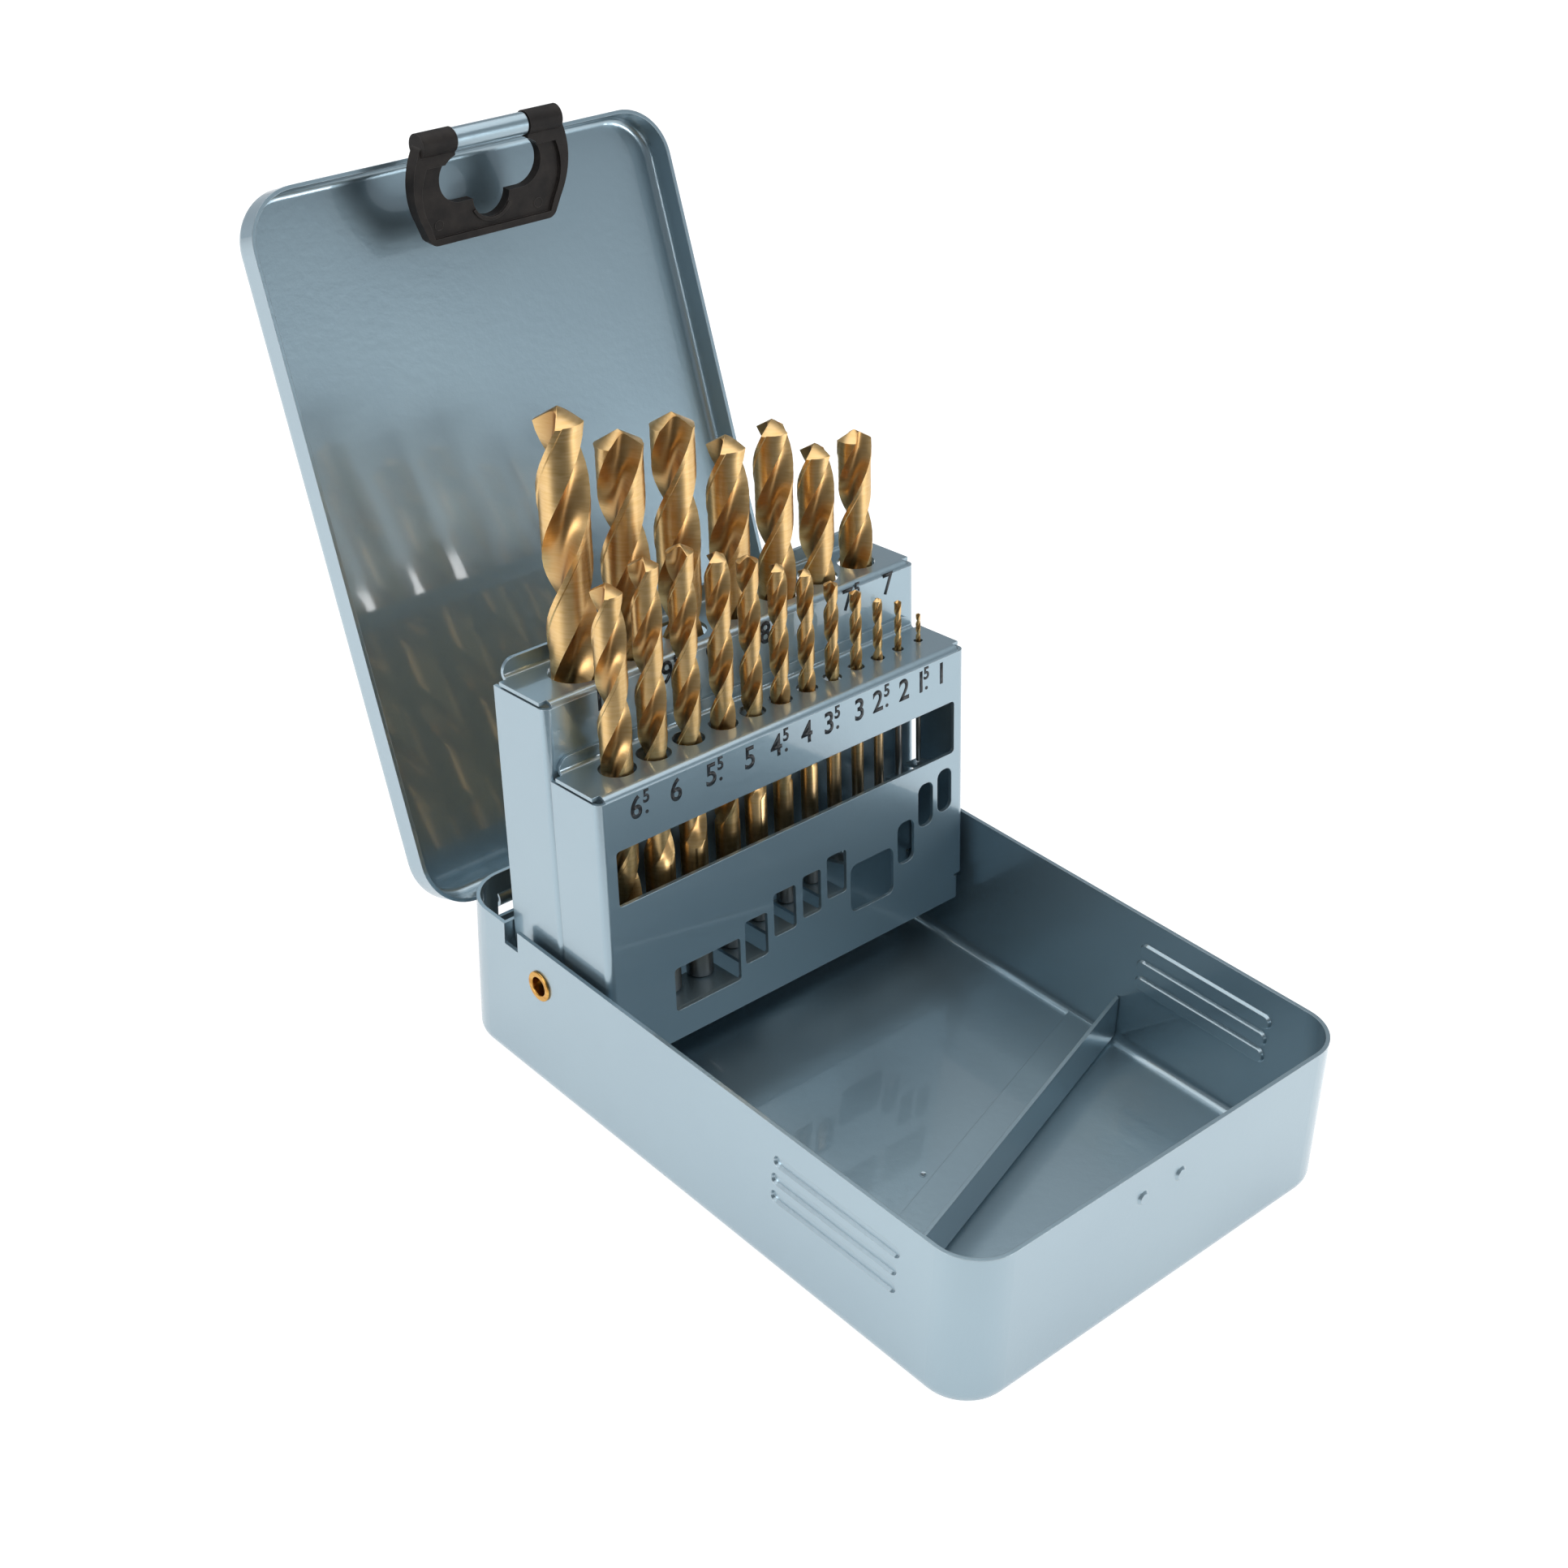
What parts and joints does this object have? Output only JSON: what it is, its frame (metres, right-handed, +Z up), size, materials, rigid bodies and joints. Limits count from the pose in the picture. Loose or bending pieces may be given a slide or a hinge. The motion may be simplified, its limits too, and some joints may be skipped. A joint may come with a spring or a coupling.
{
  "type": "drill bit case",
  "caption": "Sheet steel case with a hinged lid and a fold-down rack that holds twist drills in two rows, standing open.",
  "frame": {"origin": "centre of the base tray's underside", "axes": "+X to the right along the drill rack, +Y back towards the lid hinge, +Z up"},
  "size_m": [0.1034, 0.2118, 0.1697],
  "materials": {
    "painted_steel": "gloss",
    "bright_steel": "satin",
    "brass": "polished",
    "black_plastic": "satin",
    "coated_drill_steel": "titanium nitride gold"
  },
  "bodies": {
    "base": {"base_tray": "painted_steel", "divider": "painted_steel", "hinge_pin_left": "bright_steel", "hinge_pin_right": "bright_steel", "eyelet_left": "brass", "eyelet_right": "brass"},
    "lid": {"lid": "painted_steel"},
    "hanger": {"hanger": "black_plastic"},
    "holder": {"holder_front": "painted_steel", "holder_rear": "painted_steel"},
    "drill_6_5mm": {"drill_6_5mm": "coated_drill_steel"},
    "drill_6_0mm": {"drill_6_0mm": "coated_drill_steel"},
    "drill_5_5mm": {"drill_5_5mm": "coated_drill_steel"},
    "drill_5_0mm": {"drill_5_0mm": "coated_drill_steel"},
    "drill_4_5mm": {"drill_4_5mm": "coated_drill_steel"},
    "drill_4_0mm": {"drill_4_0mm": "coated_drill_steel"},
    "drill_3_5mm": {"drill_3_5mm": "coated_drill_steel"},
    "drill_3_0mm": {"drill_3_0mm": "coated_drill_steel"},
    "drill_2_5mm": {"drill_2_5mm": "coated_drill_steel"},
    "drill_2_0mm": {"drill_2_0mm": "coated_drill_steel"},
    "drill_1_5mm": {"drill_1_5mm": "coated_drill_steel"},
    "drill_1_0mm": {"drill_1_0mm": "coated_drill_steel"},
    "drill_10_0mm": {"drill_10_0mm": "coated_drill_steel"},
    "drill_9_5mm": {"drill_9_5mm": "coated_drill_steel"},
    "drill_9_0mm": {"drill_9_0mm": "coated_drill_steel"},
    "drill_8_5mm": {"drill_8_5mm": "coated_drill_steel"},
    "drill_8_0mm": {"drill_8_0mm": "coated_drill_steel"},
    "drill_7_5mm": {"drill_7_5mm": "coated_drill_steel"},
    "drill_7_0mm": {"drill_7_0mm": "coated_drill_steel"}
  },
  "joints": [
    {"name": "lid_hinge", "type": "hinge", "parent": "base", "child": "lid", "pos_m": [0, 0.0736, 0.0263], "axis": [-1, 0, 0], "range_deg": [-111.5, 0]},
    {"name": "holder_pivot", "type": "hinge", "parent": "base", "child": "holder", "pos_m": [0, 0.0453, 0.0248], "axis": [-1, 0, 0], "range_deg": [-93, 0]},
    {"name": "hanger_swing", "type": "hinge", "parent": "lid", "child": "hanger", "pos_m": [0, 0.12348, 0.16712], "axis": [-1, 0, 0], "range_deg": [0, 122.65]},
    {"name": "lift_6_5mm", "type": "slide", "parent": "holder", "child": "drill_6_5mm", "axis": [0, 0.0785, 0.9969], "range_m": [0, 0.0642]},
    {"name": "lift_6_0mm", "type": "slide", "parent": "holder", "child": "drill_6_0mm", "axis": [0, 0.0785, 0.9969], "range_m": [0, 0.0538]},
    {"name": "lift_5_5mm", "type": "slide", "parent": "holder", "child": "drill_5_5mm", "axis": [0, 0.0785, 0.9969], "range_m": [0, 0.0538]},
    {"name": "lift_5_0mm", "type": "slide", "parent": "holder", "child": "drill_5_0mm", "axis": [0, 0.0785, 0.9969], "range_m": [0, 0.051]},
    {"name": "lift_4_5mm", "type": "slide", "parent": "holder", "child": "drill_4_5mm", "axis": [0, 0.0785, 0.9969], "range_m": [0, 0.048]},
    {"name": "lift_4_0mm", "type": "slide", "parent": "holder", "child": "drill_4_0mm", "axis": [0, 0.0785, 0.9969], "range_m": [0, 0.047]},
    {"name": "lift_3_5mm", "type": "slide", "parent": "holder", "child": "drill_3_5mm", "axis": [0, 0.0785, 0.9969], "range_m": [0, 0.0454]},
    {"name": "lift_3_0mm", "type": "slide", "parent": "holder", "child": "drill_3_0mm", "axis": [0, 0.0785, 0.9969], "range_m": [0, 0.04107]},
    {"name": "lift_2_5mm", "type": "slide", "parent": "holder", "child": "drill_2_5mm", "axis": [0, 0.0785, 0.9969], "range_m": [0, 0.04113]},
    {"name": "lift_2_0mm", "type": "slide", "parent": "holder", "child": "drill_2_0mm", "axis": [0, 0.0785, 0.9969], "range_m": [0, 0.0368]},
    {"name": "lift_1_5mm", "type": "slide", "parent": "holder", "child": "drill_1_5mm", "axis": [0, 0.0785, 0.9969], "range_m": [0, 0.03016]},
    {"name": "lift_1_0mm", "type": "slide", "parent": "holder", "child": "drill_1_0mm", "axis": [0, 0.0785, 0.9969], "range_m": [0, 0.02892]},
    {"name": "lift_10_0mm", "type": "slide", "parent": "holder", "child": "drill_10_0mm", "axis": [0, 0.0785, 0.9969], "range_m": [0, 0.0812]},
    {"name": "lift_9_5mm", "type": "slide", "parent": "holder", "child": "drill_9_5mm", "axis": [0, 0.0785, 0.9969], "range_m": [0, 0.0812]},
    {"name": "lift_9_0mm", "type": "slide", "parent": "holder", "child": "drill_9_0mm", "axis": [0, 0.0785, 0.9969], "range_m": [0, 0.0812]},
    {"name": "lift_8_5mm", "type": "slide", "parent": "holder", "child": "drill_8_5mm", "axis": [0, 0.0785, 0.9969], "range_m": [0, 0.0812]},
    {"name": "lift_8_0mm", "type": "slide", "parent": "holder", "child": "drill_8_0mm", "axis": [0, 0.0785, 0.9969], "range_m": [0, 0.0812]},
    {"name": "lift_7_5mm", "type": "slide", "parent": "holder", "child": "drill_7_5mm", "axis": [0, 0.0785, 0.9969], "range_m": [0, 0.0812]},
    {"name": "lift_7_0mm", "type": "slide", "parent": "holder", "child": "drill_7_0mm", "axis": [0, 0.0785, 0.9969], "range_m": [0, 0.0812]}
  ],
  "couplings": [
    {"joint": "holder_pivot", "follows": "lid_hinge", "ratio": 0.83408},
    {"joint": "hanger_swing", "follows": "lid_hinge", "ratio": -1.1}
  ]
}
